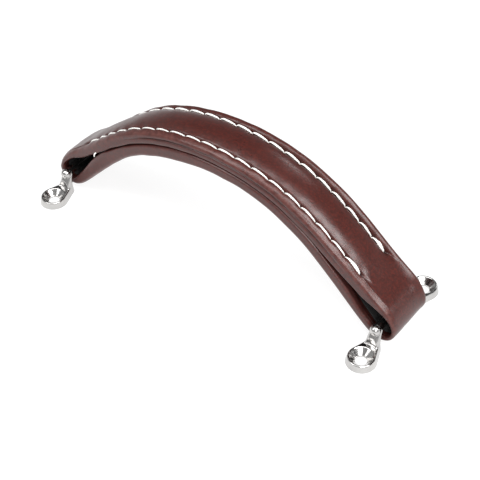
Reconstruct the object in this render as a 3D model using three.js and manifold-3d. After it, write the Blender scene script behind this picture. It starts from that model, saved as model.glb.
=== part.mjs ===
// Leather carrying handle for a case: an arched, padded leather loop sewn in
// two rows, hung at each end on the bar of a cast nickel-plated bracket with
// two countersunk feet.
//
// Millimetres. +Z up, X along the handle, Y across it. The origin is on the
// surface the four feet stand on, in the middle of the handle.

import * as THREE from 'three';
import { mergeVertices } from 'three/addons/utils/BufferGeometryUtils.js';
import Module from 'manifold-3d';

// ---------------------------------------------------------------- dimensions

// arch of the grip, as the height of the seam line over x (mm, x in hundreds)
const ARCH_H = 78.7, ARCH_2 = 35.91, ARCH_4 = 25.15, ARCH_6 = -15.89;
const SEAM_Y = 11.04;            // seam rows at +-SEAM_Y

// brackets
const BAR_X = 109.7;             // bar axis, +- along X
const BAR_Z = 12.7;              // bar axis above the feet
const BAR_R = 2.5;               // round bar through the leather
const BALL_R = 3.0;              // domed head of the bar, outside the leather
const BALL_Y = 19.1;             // its centre, +- across
const ARM_IN = 15.9;             // inner face of the arm
const ARM_R = 3.3;               // half width of the arm at the bar
const FOOT_Y = 31.8;             // screw hole, +- across
const FOOT_H = 4.2;              // foot thickness
const FOOT_R_TOP = 7.15;         // ring outline at the top face
const FOOT_ROUND = 0.3;          // rounding of its upper edge
const FOOT_DRAFT = 1.0;          // the outline grows by this towards the base
const NECK_Y = 21.4;             // inner end of the egg-shaped foot
const NECK_R_TOP = 3.5;
const SINK_R = 6.6;              // countersink at the top face
const SINK_LAND = 0.9;           // straight part under the countersink
const HOLE_R = 3.1;              // screw hole
const DRIVER_R = 9.6;            // clearance for the screw head, cut in the arm

// leather
const HALF_W = 16.15;            // half width of the grip
const HALF_W_END = 15.3;         // half width where it turns round the bar
const LIP_Y = 12.4;              // turned-in edges leave a recess |y| < LIP_Y
const RECESS = 1.2;              // depth of that recess
const GROOVE = 0.75;             // seam groove below the seam line
const EDGE_R = 2.2;              // rolled edge
const SLIT = 0.6;                // slit between the upper and the lower run

// lining and thread
const LINING_T = 0.9, LINING_HALF_W = 10.2, GAP = 0.3;
const THREAD_R = 0.5;
const PIT_L = 3.0, PIT_W = 1.8;  // needle pit along and across the seam

// needle positions along x, front row (y < 0) and rear row (y > 0)
const FRONT_PITS = [-94.1, -85.5, -78.6, -70.9, -62.0, -51.0, -40.4, -30.2, -19.0, -8.3,
  2.7, 14.2, 24.7, 36.0, 46.2, 56.4, 66.0, 75.8, 84.7, 94.1];
const REAR_PITS = [-94.0, -84.8, -75.1, -65.9, -55.4, -45.3, -34.3, -23.4, -12.6, -1.5,
  9.2, 20.0, 30.5, 40.7, 51.2, 60.9, 70.1, 78.8, 86.9, 94.9];

// ------------------------------------------------------------- solid helpers

const wasm = await Module();
wasm.setup();

function signedVolume(geo) {
  const p = geo.attributes.position, ix = geo.index;
  const a = new THREE.Vector3(), b = new THREE.Vector3(), c = new THREE.Vector3();
  let v = 0;
  for (let i = 0; i < ix.count; i += 3) {
    a.fromBufferAttribute(p, ix.getX(i));
    b.fromBufferAttribute(p, ix.getX(i + 1));
    c.fromBufferAttribute(p, ix.getX(i + 2));
    v += a.dot(b.cross(c)) / 6;
  }
  return v;
}

// one closed body, vertices merged, faces out
function clean(geo) {
  let g = geo.clone();
  for (const name of Object.keys(g.attributes)) if (name !== 'position') g.deleteAttribute(name);
  g = mergeVertices(g, 1e-4);
  const src = g.index.array, keep = [];
  for (let i = 0; i < src.length; i += 3) {
    const [a, b, c] = [src[i], src[i + 1], src[i + 2]];
    if (a !== b && b !== c && a !== c) keep.push(a, b, c);
  }
  g.setIndex(keep);
  if (signedVolume(g) < 0) {
    const ix = g.index.array;
    for (let i = 0; i < ix.length; i += 3) { const t = ix[i]; ix[i] = ix[i + 1]; ix[i + 1] = t; }
  }
  return g;
}

function solid(geo) {
  const g = clean(geo);
  return new wasm.Manifold(new wasm.Mesh({
    numProp: 3,
    vertProperties: new Float32Array(g.attributes.position.array),
    triVerts: new Uint32Array(g.index.array),
  }));
}

function geometry(m) {
  const mesh = m.getMesh();
  const g = new THREE.BufferGeometry();
  g.setAttribute('position', new THREE.BufferAttribute(new Float32Array(mesh.vertProperties), 3));
  g.setIndex(new THREE.BufferAttribute(new Uint32Array(mesh.triVerts), 1));
  g.computeVertexNormals();
  return g;
}

// a band that closes on itself: rings of equal length, joined in order
function closedBand(rings) {
  const n = rings.length, m = rings[0].length, pos = [], ix = [];
  for (const r of rings) for (const p of r) pos.push(p.x, p.y, p.z);
  for (let i = 0; i < n; i++) {
    const a = i * m, b = ((i + 1) % n) * m;
    for (let j = 0; j < m; j++) {
      const k = (j + 1) % m;
      ix.push(a + j, b + j, b + k, a + j, b + k, a + k);
    }
  }
  const g = new THREE.BufferGeometry();
  g.setAttribute('position', new THREE.Float32BufferAttribute(pos, 3));
  g.setIndex(ix);
  return g;
}

// --------------------------------------------------- side view of the leather

const archZ = (x) => {
  const u = x / 100;
  return ARCH_H - ARCH_2 * u ** 2 - ARCH_4 * u ** 4 - ARCH_6 * u ** 6;
};
const archNormal = (x) => {
  const s = (archZ(x + 0.01) - archZ(x - 0.01)) / 0.02, l = Math.hypot(s, 1);
  return [-s / l, 1 / l];
};
// a point at depth d under the seam line, measured along the arch's normal
const under = (x, d) => {
  const [nx, nz] = archNormal(x);
  return [x - nx * d, archZ(x) - nz * d];
};
const lerpTable = (tab, x) => {
  if (x <= tab[0][0]) return tab[0][1];
  for (let i = 1; i < tab.length; i++) {
    if (x <= tab[i][0]) {
      const t = (x - tab[i - 1][0]) / (tab[i][0] - tab[i - 1][0]);
      return tab[i - 1][1] + t * (tab[i][1] - tab[i - 1][1]);
    }
  }
  return tab[tab.length - 1][1];
};

// thickness of the upper run, and depth of the handle's underside, over x
const UPPER_T = [[-100, 6.1], [-88, 6.9], [-74, 7.1], [-60, 7.2], [-40, 7.4], [-20, 7.4], [0, 7.2],
  [20, 7.3], [40, 7.3], [60, 7.7], [75, 8.1], [88, 8.2], [100, 7.3]];
// how far the margin outside each seam stands above the seam line; the hand
// has worked the leather, so the rear margin is fuller on the right
const FRONT_CREST = [[-110, 0.1], [-98, 0.7], [-80, 1.0], [80, 1.0], [98, 0.8], [112, 0]];
const REAR_CREST = [[-117, 0], [-112, -1.0], [-103, -2.3], [-95, -1.9], [-80, -1.4], [-72, -1.2], [-66, -0.7], [-58, 0.1],
  [-50, 0.2], [-30, 0.5], [-12, 0.9], [5, 1.5], [25, 2.1], [60, 2.5], [96, 2.7], [106, 3.1], [112, 2.2], [118, 0.6]];
// the left end has taken a slight twist: its rear seam lies lower
const REAR_DROOP = [[-112, 0.9], [-103, 1.6], [-94, 1.4], [-80, 1.0], [-66, 0.4], [-54, 0]];
const CROWN_X = [[-108, 1.3], [-70, 1.7], [-40, 2.4]];
const TOTAL_T = [[-74, 14.7], [-66, 14.6], [-55, 14.9], [-40, 15.6], [-26, 15.7], [-12, 15.2],
  [0, 14.8], [12, 14.55], [26, 14.3], [40, 14.5], [56, 15.0]];

// Stations round the loop, clockwise seen from the front: outer point, inner
// point, and what the section is like there (run: 'u' upper, 'n' nose, 'l' lower).
const stations = [];
for (const x of [-102, -97, -90, -80, -70, -60, -50, -40, -30, -20, -10, 0,
  10, 20, 30, 40, 50, 60, 70, 80, 90, 97, 102]) {
  stations.push({ o: [x, archZ(x)], i: under(x, lerpTable(UPPER_T, x)), run: 'u', x });
}
for (const [o, i] of [                      // right-hand turn round the bar
  [[107.5, 28.1], [104.6, 23.2]], [[113.0, 24.3], [110.5, 20.2]], [[117.1, 18.9], [114.6, 16.9]],
  [[119.2, 12.8], [116.5, 12.4]], [[118.3, 7.0], [115.9, 8.4]], [[114.8, 3.2], [113.4, 5.8]],
  [[109.7, 2.0], [109.7, 5.3]], [[104.6, 3.1], [106.0, 7.7]], [[99.2, 7.0], [102.0, 11.8]],
]) stations.push({ o, i, run: 'n', x: o[0] });
for (const [o, i] of [                      // lower run, right half
  [[93.3, 13.1], [97.3, 16.7]], [[86.5, 20.7], [91.0, 25.0]], [[79.0, 28.1], [84.0, 32.7]],
  [[71.0, 35.5], [75.6, 40.7]], [[62.5, 43.4], [65.6, 49.7]],
]) stations.push({ o, i, run: 'l', x: o[0] });
for (const x of [56, 40, 26, 12, 0, -12, -26, -40, -54, -65]) {
  stations.push({ o: under(x, lerpTable(TOTAL_T, x)), i: under(x, lerpTable(UPPER_T, x) + SLIT), run: 'l', x });
}
for (const [o, i] of [                      // lower run, left half
  [[-72.3, 35.0], [-77.0, 42.3]], [[-79.5, 27.8], [-84.1, 36.3]],
  [[-86.0, 21.0], [-89.6, 30.2]], [[-92.0, 14.9], [-94.4, 23.8]], [[-97.8, 8.7], [-98.9, 17.8]],
  [[-103.0, 3.9], [-103.0, 12.6]],
]) stations.push({ o, i, run: 'l', x: o[0] });
for (const [o, i] of [                      // left-hand turn round the bar
  [[-107.8, 1.7], [-106.9, 8.0]], [[-112.6, 2.6], [-110.8, 6.0]], [[-117.0, 6.2], [-114.0, 8.5]],
  [[-119.2, 11.8], [-115.4, 12.2]], [[-116.9, 17.9], [-113.9, 16.0]], [[-113.2, 23.2], [-110.6, 19.6]],
  [[-107.4, 28.1], [-105.2, 23.6]],
]) stations.push({ o, i, run: 'n', x: o[0] });

const closedCurve = (key) => new THREE.CatmullRomCurve3(
  stations.map((s) => new THREE.Vector3(s[key][0], 0, s[key][1])), true, 'centripetal');
const outerCurve = closedCurve('o'), innerCurve = closedCurve('i');
const N = stations.length;

// how strongly a feature is present at loop parameter k (in stations)
const presence = (k, f) => {
  const a = Math.floor(k) % N, t = k - Math.floor(k);
  return f(stations[a]) * (1 - t) + f(stations[(a + 1) % N]) * t;
};
const clamp01 = (v) => Math.min(1, Math.max(0, v));
const isSeam = (s) => (s.run === 'u' ? clamp01((101 - Math.abs(s.x)) / 3) : 0);
const isUpper = (s) => (s.run === 'u' ? 1 : 0);
const isEnd = (s) => clamp01((Math.abs(s.x) - 84) / 16);
const isPadded = (s) => (s.run === 'u' || (s.run === 'n' && s.o[1] > 12) ? clamp01((114 - Math.abs(s.x)) / 24) : 0);
const isDropped = (s) => (s.run === 'u' || (s.run === 'n' && s.o[1] > 12) ? lerpTable(REAR_DROOP, s.x) : 0);
const crownOf = (s) => isPadded(s) * lerpTable(CROWN_X, s.x);
const onTop = (tab) => (s) => (s.run === 'u' || (s.run === 'n' && s.o[1] > 12) ? lerpTable(tab, s.x) : 0);
const frontCrest = onTop(FRONT_CREST), rearCrest = onTop(REAR_CREST);
const isCreased = (s) => (s.run === 'u' ? clamp01((78 - Math.abs(s.x - 12)) / 30) : 0);

// parameters at which the leather and the lining take a section
const params = [];
for (let a = 0; a < N; a++) {
  params.push(a);
  if (stations[a].run === 'n' && stations[(a + 1) % N].run === 'n') params.push(a + 0.5);
}

function frameAt(k) {
  const u = (k % N) / N;
  const o = outerCurve.getPoint(u), i = innerCurve.getPoint(u);
  const t = o.distanceTo(i);
  return { o, dir: i.clone().sub(o).divideScalar(t), t };
}

// section of the leather from its middle to one edge, as [y, depth]
function halfSection(k, t, crestAt, dropAt) {
  const seam = presence(k, isSeam), upper = presence(k, isUpper), end = presence(k, isEnd);
  const crest = presence(k, crestAt), drop = presence(k, dropAt);
  const w = HALF_W + (HALF_W_END - HALF_W) * end;
  const crown = presence(k, crownOf) + 0.3 * (1 - upper);
  // stitched: a crown down to the seam groove; past the last stitch the
  // leather runs on from crown to margin without the groove
  const blend = (y, stitched) => {
    const free = -(crown + (crest - crown) * (y / 13.6) ** 2) + 0.1 * crown;
    return seam * (stitched + drop * Math.min(1, y / SEAM_Y)) + (1 - seam) * free;
  };
  const rise = (y) => -crown * (1 - (y / 10.6) ** 2.4);
  const r = Math.min(EDGE_R, 0.42 * (t + crest)), low = r - crest, lip = t - 0.5;
  const crease = 0.75 * presence(k, isCreased);
  const arc = (deg) => [w - r + r * Math.cos(deg * Math.PI / 180), low - r * Math.sin(deg * Math.PI / 180)];
  const wall = SEAM_Y + 1.6;
  return [
    [0, -crown], ...[4.2, 7.4, 9.4].map((y) => [y, blend(y, rise(y))]),
    [SEAM_Y - 0.75, blend(SEAM_Y - 0.75, GROOVE)], [SEAM_Y + 0.75, blend(SEAM_Y + 0.75, GROOVE)],
    [wall, blend(wall, GROOVE - 0.6 * (GROOVE + crest + drop))],
    arc(90), arc(58), arc(28), [w, low],
    [w - crease, low + 0.3 * (lip - low)], [w, low + 0.62 * (lip - low)],
    [w - 0.25, lip], [w - 1.3, t], [LIP_Y, t], [LIP_Y, t - RECESS], [0, t - RECESS],
  ];
}

function ringFrom(k, rear, front) {
  const f = frameAt(k);
  const at = (side) => ([y, d]) => new THREE.Vector3(f.o.x + f.dir.x * d, side * y, f.o.z + f.dir.z * d);
  return rear(k, f.t).map(at(1)).concat(front(k, f.t).slice(1, -1).reverse().map(at(-1)));
}

// ------------------------------------------------------------------- leather

function pitCutter(x, y, depthFrom, depthTo) {
  const s = new THREE.Shape();
  s.absellipse(0, 0, PIT_L / 2, PIT_W / 2, 0, Math.PI * 2);
  const g = new THREE.ExtrudeGeometry(s, { depth: depthTo - depthFrom, bevelEnabled: false, curveSegments: 4 });
  const [nx, nz] = archNormal(x);
  const m = new THREE.Matrix4().makeBasis(
    new THREE.Vector3(nz, 0, -nx), new THREE.Vector3(0, -1, 0), new THREE.Vector3(-nx, 0, -nz));
  const [ox, oz] = under(x, depthFrom);
  m.setPosition(ox, y, oz);
  g.applyMatrix4(m);
  return solid(g);
}

function leather() {
  const rear = (k, t) => halfSection(k, t, rearCrest, isDropped), front = (k, t) => halfSection(k, t, frontCrest, () => 0);
  let body = solid(closedBand(params.map((k) => ringFrom(k, rear, front))));
  for (const [row, y] of [[FRONT_PITS, -SEAM_Y], [REAR_PITS, SEAM_Y]]) {
    for (const x of row) body = body.subtract(pitCutter(x, y, -3, lerpTable(UPPER_T, x) - RECESS + 0.25));
  }
  return geometry(body);
}

// -------------------------------------------------------------------- lining

function lining() {
  const half = (k, t) => {
    const top = t - RECESS + GAP;
    return [[0, top], [LINING_HALF_W, top], [LINING_HALF_W, top + LINING_T], [0, top + LINING_T]];
  };
  return clean(closedBand(params.map((k) => ringFrom(k, half, half))));
}

// ------------------------------------------------------------------- threads

// a path given by its points, so that the tube has a ring at each of them
class PointPath extends THREE.Curve {
  constructor(points) { super(); this.points = points; }
  getPoint(t, target = new THREE.Vector3()) {
    const f = t * (this.points.length - 1), i = Math.min(Math.floor(f), this.points.length - 2);
    return target.lerpVectors(this.points[i], this.points[i + 1], f - i);
  }
  getPointAt(u, target) { return this.getPoint(u, target); }
  getTangentAt(u, target = new THREE.Vector3()) {
    const n = this.points.length - 1, i = Math.round(u * n);
    return target.subVectors(this.points[Math.min(i + 1, n)], this.points[Math.max(i - 1, 0)]).normalize();
  }
}

function tube(points, radius, sides, swell = () => 1) {
  const s = new THREE.Shape();
  for (let i = 0; i < sides; i++) {
    const a = (i / sides) * Math.PI * 2;
    if (i === 0) s.moveTo(radius * Math.cos(a), radius * Math.sin(a));
    else s.lineTo(radius * Math.cos(a), radius * Math.sin(a));
  }
  s.closePath();
  const g = clean(new THREE.ExtrudeGeometry(s, {
    steps: points.length - 1, extrudePath: new PointPath(points), bevelEnabled: false,
  }));
  // the thread is fuller where it lies free
  const p = g.attributes.position, v = new THREE.Vector3();
  for (let i = 0; i < p.count; i++) {
    v.fromBufferAttribute(p, i);
    let near = 0;
    for (let j = 1; j < points.length; j++) if (v.distanceToSquared(points[j]) < v.distanceToSquared(points[near])) near = j;
    v.sub(points[near]).multiplyScalar(swell(near)).add(points[near]);
    p.setXYZ(i, v.x, v.y, v.z);
  }
  return g;
}

// needle thread: lies on the leather, dips into each needle pit; the last
// stitch is sewn over twice
function needleThread(row, y) {
  const pts = [], full = [];
  const put = (x, d, f = 1) => {
    const [px, pz] = under(x, d + (y > 0 ? lerpTable(REAR_DROOP, x) : 0));
    pts.push(new THREE.Vector3(px, y, pz)); full.push(f);
  };
  row.forEach((x, i) => {
    const tail = i === row.length - 1;
    if (i > 0) { put(x - 2.3, tail ? -0.55 : -0.16, tail ? 1.9 : 1.16); put(x - 0.7, 0.3, tail ? 1.35 : 0.95); }
    put(x, 1.75, 0.85);
    if (!tail) {
      const last = i === row.length - 2;
      put(x + 0.7, 0.3, 0.95); put(x + 2.3, last ? -0.25 : -0.16, last ? 1.4 : 1.12);
      put((x + row[i + 1]) / 2, last ? -0.65 : -0.22, last ? 2 : 1.22);
    }
  });
  return tube(pts, THREAD_R, 6, (j) => full[j]);
}

// bobbin thread: the same under the upper run, in the recess beside the lining
function bobbinThread(row, y) {
  const r = 0.43, pts = [], put = (x, d) => {
    const [px, pz] = under(x, lerpTable(UPPER_T, x) - RECESS + GAP + r + d);
    pts.push(new THREE.Vector3(px, y, pz));
  };
  row.forEach((x, i) => {
    if (i > 0) put(x - 0.75, -0.05);
    put(x, -1.3);
    if (i < row.length - 1) { put(x + 0.75, -0.05); put((x + row[i + 1]) / 2, 0.06); }
  });
  return tube(pts, r, 5);
}

// ------------------------------------------------------------------- bracket

const upright = (geo) => geo.rotateX(Math.PI / 2);      // three.js cylinders run along Y

function hullOutline(rRing, rNeck) {
  // outline round a big circle at FOOT_Y and a small one at NECK_Y, both on x = 0
  const d = FOOT_Y - NECK_Y, a = Math.asin((rRing - rNeck) / d);
  const s = new THREE.Shape();
  s.absarc(0, FOOT_Y, rRing, -a, Math.PI + a, false);
  s.absarc(0, NECK_Y, rNeck, Math.PI + a, 2 * Math.PI - a, false);
  s.closePath();
  return s;
}

function foot() {
  const shoulder = FOOT_H - FOOT_ROUND;
  const drafted = new THREE.ExtrudeGeometry(hullOutline(FOOT_R_TOP + FOOT_ROUND, NECK_R_TOP + FOOT_ROUND), {
    depth: 1, bevelEnabled: true, bevelSize: FOOT_DRAFT, bevelThickness: shoulder, bevelSegments: 1, curveSegments: 14,
  }).translate(0, 0, -1);
  const upper = new THREE.ExtrudeGeometry(hullOutline(FOOT_R_TOP, NECK_R_TOP), {
    depth: 1, bevelEnabled: true, bevelSize: FOOT_ROUND, bevelThickness: FOOT_ROUND, bevelSegments: 2, curveSegments: 14,
  }).translate(0, 0, shoulder - 1);
  const below = new THREE.BoxGeometry(60, 80, 20).translate(0, 25, -10);
  return solid(drafted).add(solid(upper)).subtract(solid(below));
}

// outer face of the arm: how far out it is at a depth below the bar axis
const ARM_OUT = [[0, 18.8], [2, 20.6], [BAR_Z - FOOT_H, 25.5], [BAR_Z, 26.9]];

function arm() {
  const bottom = 1.4, h = BAR_Z - bottom;
  const g = upright(new THREE.CylinderGeometry(1, 1, h, 20, 5));
  const p = g.attributes.position;
  for (let i = 0; i < p.count; i++) {
    const down = Math.max(0, h / 2 - p.getZ(i)), t = down / h;
    const yIn = ARM_IN + 0.7 * Math.min(1, t * 2.2), yOut = lerpTable(ARM_OUT, down);
    p.setXYZ(i, p.getX(i) * (ARM_R + 0.9 * t), (yIn + yOut) / 2 + p.getY(i) * (yOut - yIn) / 2, BAR_Z - down);
  }
  const ry = (ARM_OUT[0][1] - ARM_IN) / 2;
  const top = new THREE.SphereGeometry(1, 16, 10).scale(ARM_R * 0.99, ry * 0.99, 1.9).translate(0, ARM_IN + ry, BAR_Z);
  return solid(g).add(solid(top));
}

function halfBracket() {
  const driver = upright(new THREE.CylinderGeometry(DRIVER_R, DRIVER_R, 30, 56)).translate(0, FOOT_Y, FOOT_H + 15);
  const slope = (SINK_R - HOLE_R) / (FOOT_H - SINK_LAND), over = 1;
  const sink = upright(new THREE.CylinderGeometry(SINK_R + slope * over, HOLE_R, FOOT_H - SINK_LAND + over, 28))
    .translate(0, FOOT_Y, (FOOT_H + over + SINK_LAND) / 2);
  const hole = upright(new THREE.CylinderGeometry(HOLE_R, HOLE_R, 4, 28)).translate(0, FOOT_Y, 0);
  const ball = new THREE.SphereGeometry(BALL_R, 16, 10).translate(0, BALL_Y, BAR_Z);
  return arm().subtract(solid(driver)).add(foot()).add(solid(ball)).subtract(solid(sink)).subtract(solid(hole));
}

function bracket() {
  const front = halfBracket();
  const back = front.mirror([0, 1, 0]);
  const bar = new THREE.CylinderGeometry(BAR_R, BAR_R, 2 * BALL_Y, 16);
  bar.translate(0, 0, BAR_Z);
  return geometry(front.add(back).add(solid(bar)));
}

// ------------------------------------------------------------------ assembly

const leatherMat = new THREE.MeshStandardMaterial({ color: 0x4a2420, roughness: 0.42, metalness: 0 });
const liningMat = new THREE.MeshStandardMaterial({ color: 0x111113, roughness: 0.9, metalness: 0 });
const threadMat = new THREE.MeshStandardMaterial({ color: 0xece8e0, roughness: 0.7, metalness: 0 });
const nickelMat = new THREE.MeshStandardMaterial({ color: 0xd8d6d0, roughness: 0.12, metalness: 1 });

const handle = new THREE.Group();
function add(name, geo, mat, x = 0) {
  const mesh = new THREE.Mesh(geo, mat);
  mesh.name = name;
  mesh.position.set(x, 0, 0);
  handle.add(mesh);
}

add('leather_strap', leather(), leatherMat);
add('inner_lining', lining(), liningMat);
add('front_needle_thread', needleThread(FRONT_PITS, -SEAM_Y), threadMat);
add('rear_needle_thread', needleThread(REAR_PITS, SEAM_Y), threadMat);
add('front_bobbin_thread', bobbinThread(FRONT_PITS, -SEAM_Y), threadMat);
add('rear_bobbin_thread', bobbinThread(REAR_PITS, SEAM_Y), threadMat);
const bracketGeometry = bracket();
add('left_bracket', bracketGeometry, nickelMat, -BAR_X);
add('right_bracket', bracketGeometry, nickelMat, BAR_X);

export default handle;
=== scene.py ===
"""Leather carrying handle for a case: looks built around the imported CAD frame.

Shapes are worked out in millimetres in the CAD frame (+Z up, X along the
handle, Y across it) and turned into metres as each mesh is made.
"""

import math

import bpy
import numpy as np
from mathutils import Matrix


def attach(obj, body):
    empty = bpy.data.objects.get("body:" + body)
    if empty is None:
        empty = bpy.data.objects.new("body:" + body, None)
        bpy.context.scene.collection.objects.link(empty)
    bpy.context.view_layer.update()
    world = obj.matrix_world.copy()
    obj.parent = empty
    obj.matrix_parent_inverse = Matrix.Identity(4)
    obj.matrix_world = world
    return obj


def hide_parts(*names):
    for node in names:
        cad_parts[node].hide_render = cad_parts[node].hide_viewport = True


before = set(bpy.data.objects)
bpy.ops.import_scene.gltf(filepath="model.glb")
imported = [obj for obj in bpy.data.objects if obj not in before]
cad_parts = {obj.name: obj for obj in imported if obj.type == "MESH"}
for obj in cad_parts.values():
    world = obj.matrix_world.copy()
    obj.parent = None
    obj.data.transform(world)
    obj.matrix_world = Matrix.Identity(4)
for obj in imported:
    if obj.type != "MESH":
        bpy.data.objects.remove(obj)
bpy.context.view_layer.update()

MM = 0.001
RNG = np.random.RandomState(20)

# ------------------------------------------------------------------ dimensions

ARCH_H, ARCH_2, ARCH_4, ARCH_6 = 78.7, 35.91, 25.15, -15.89
SEAM_Y = 11.04
BAR_X, BAR_Z, BAR_R = 109.7, 12.7, 2.5
BALL_R, BALL_Y = 3.0, 19.1
ARM_IN, ARM_R = 15.9, 3.3
FOOT_Y, FOOT_H, FOOT_R_TOP, FOOT_ROUND, FOOT_DRAFT = 31.8, 4.2, 7.15, 0.3, 1.0
NECK_Y, NECK_R_TOP = 21.4, 3.5
SINK_R, SINK_LAND, HOLE_R, DRIVER_R = 6.6, 0.9, 3.1, 9.6
ARM_OUT = np.array([[0, 18.8], [2, 20.6], [8.5, 25.5], [12.7, 26.9]])

HALF_W, HALF_W_END = 16.15, 15.3
LIP_Y, RECESS, GROOVE, EDGE_R, SLIT = 12.4, 1.2, 0.75, 2.2, 0.6
LINING_T, LINING_HALF_W, GAP = 0.9, 10.2, 0.3
THREAD_R = 0.5

FRONT_PITS = [-94.1, -85.5, -78.6, -70.9, -62.0, -51.0, -40.4, -30.2, -19.0, -8.3,
              2.7, 14.2, 24.7, 36.0, 46.2, 56.4, 66.0, 75.8, 84.7, 94.1]
REAR_PITS = [-94.0, -84.8, -75.1, -65.9, -55.4, -45.3, -34.3, -23.4, -12.6, -1.5,
             9.2, 20.0, 30.5, 40.7, 51.2, 60.9, 70.1, 78.8, 86.9, 94.9]

UPPER_T = [[-100, 6.1], [-88, 6.9], [-74, 7.1], [-60, 7.2], [-40, 7.4], [-20, 7.4], [0, 7.2],
           [20, 7.3], [40, 7.3], [60, 7.7], [75, 8.1], [88, 8.2], [100, 7.3]]
TOTAL_T = [[-74, 14.7], [-66, 14.6], [-55, 14.9], [-40, 15.6], [-26, 15.7], [-12, 15.2],
           [0, 14.8], [12, 14.55], [26, 14.3], [40, 14.5], [56, 15.0]]
FRONT_CREST = [[-110, 0.1], [-98, 0.3], [-80, 0.45], [-60, 0.7], [-42, 1.0], [80, 1.0], [98, 0.8], [112, 0]]
REAR_CREST = [[-117, 0], [-112, -0.6], [-103, -1.5], [-95, -1.1], [-80, -0.7], [-72, -0.6], [-66, -0.3],
              [-58, 0.3], [-50, 0.4], [-30, 0.7], [-12, 1.1], [5, 1.6], [25, 2.2], [60, 2.6], [96, 2.7],
              [106, 2.9], [112, 2.7], [118, 1.9]]
REAR_DROOP = [[-112, 0.9], [-103, 1.6], [-94, 1.4], [-80, 1.0], [-66, 0.4], [-54, 0]]
CROWN_X = [[-108, 1.3], [-70, 1.7], [-40, 2.4]]


def lerp(tab, x):
    t = np.asarray(tab, float)
    return np.interp(x, t[:, 0], t[:, 1])


def arch_z(x):
    u = np.asarray(x, float) / 100
    return ARCH_H - ARCH_2 * u ** 2 - ARCH_4 * u ** 4 - ARCH_6 * u ** 6


def arch_normal(x):
    s = (arch_z(np.asarray(x, float) + 0.01) - arch_z(np.asarray(x, float) - 0.01)) / 0.02
    l = np.hypot(s, 1)
    return -s / l, 1 / l


def under(x, d):
    """A point at depth d below the seam line, along the arch's normal."""
    nx, nz = arch_normal(x)
    return np.asarray(x, float) - nx * d, arch_z(x) - nz * d


# ------------------------------------------------------- side view of the loop

STATIONS = []            # (outer x, outer z, inner x, inner z, run, x)


def station(o, i, run, x=None):
    STATIONS.append((float(o[0]), float(o[1]), float(i[0]), float(i[1]), run, float(o[0] if x is None else x)))


for x in [-102, -97, *range(-90, 91, 10), 97, 102]:
    station((x, arch_z(x)), under(x, lerp(UPPER_T, x)), "u", x)
for o, i in [((107.5, 28.1), (104.6, 23.2)), ((113.0, 24.3), (110.5, 20.2)), ((117.1, 18.9), (114.6, 16.9)),
             ((119.2, 12.8), (116.5, 12.4)), ((118.3, 7.0), (115.9, 8.4)), ((114.8, 3.2), (113.4, 5.8)),
             ((109.7, 2.0), (109.7, 5.3)), ((104.6, 3.1), (106.0, 7.7)), ((99.2, 7.0), (102.0, 11.8))]:
    station(o, i, "n")
for o, i in [((93.3, 13.1), (97.3, 16.7)), ((86.5, 20.7), (91.0, 25.0)), ((79.0, 28.1), (84.0, 32.7)),
             ((71.0, 35.5), (75.6, 40.7)), ((62.5, 43.4), (65.6, 49.7))]:
    station(o, i, "l")
for x in [56, 40, 26, 12, 0, -12, -26, -40, -54, -65]:
    station(under(x, lerp(TOTAL_T, x)), under(x, lerp(UPPER_T, x) + SLIT), "l", x)
for o, i in [((-72.3, 35.0), (-77.0, 42.3)), ((-79.5, 27.8), (-84.1, 36.3)), ((-86.0, 21.0), (-89.6, 30.2)),
             ((-92.0, 14.9), (-94.4, 23.8)), ((-97.8, 8.7), (-98.9, 17.8)), ((-103.0, 3.9), (-103.0, 12.6))]:
    station(o, i, "l")
for o, i in [((-107.8, 1.7), (-106.9, 8.0)), ((-112.6, 2.6), (-110.8, 6.0)), ((-117.0, 6.2), (-114.0, 8.5)),
             ((-119.2, 11.8), (-115.4, 12.2)), ((-116.9, 17.9), (-113.9, 16.0)), ((-113.2, 23.2), (-110.6, 19.6)),
             ((-107.4, 28.1), (-105.2, 23.6))]:
    station(o, i, "n")

N = len(STATIONS)
ST_O = np.array([[s[0], s[1]] for s in STATIONS])
ST_I = np.array([[s[2], s[3]] for s in STATIONS])
ST_X = np.array([s[5] for s in STATIONS])
RUN = [s[4] for s in STATIONS]
IS_U = np.array([r == "u" for r in RUN])
IS_TOP = np.array([r == "u" or (r == "n" and s[1] > 12) for r, s in zip(RUN, STATIONS)])


def clamp01(v):
    return np.clip(v, 0.0, 1.0)


def catmull_closed(P, k):
    """Centripetal Catmull-Rom through the closed points P, at k in stations."""
    k = np.mod(k, len(P))
    i = np.floor(k).astype(int)
    w = (k - i)[:, None]
    n = len(P)
    p0, p1, p2, p3 = P[(i - 1) % n], P[i % n], P[(i + 1) % n], P[(i + 2) % n]
    d0, d1, d2 = [np.sqrt(np.linalg.norm(b - a, axis=1))[:, None] for a, b in ((p0, p1), (p1, p2), (p2, p3))]
    t1 = ((p1 - p0) / d0 - (p2 - p0) / (d0 + d1) + (p2 - p1) / d1) * d1
    t2 = ((p2 - p1) / d1 - (p3 - p1) / (d1 + d2) + (p3 - p2) / d2) * d1
    c2, c3 = -3 * p1 + 3 * p2 - 2 * t1 - t2, 2 * p1 - 2 * p2 + t1 + t2
    return p1 + t1 * w + c2 * w ** 2 + c3 * w ** 3


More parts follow.
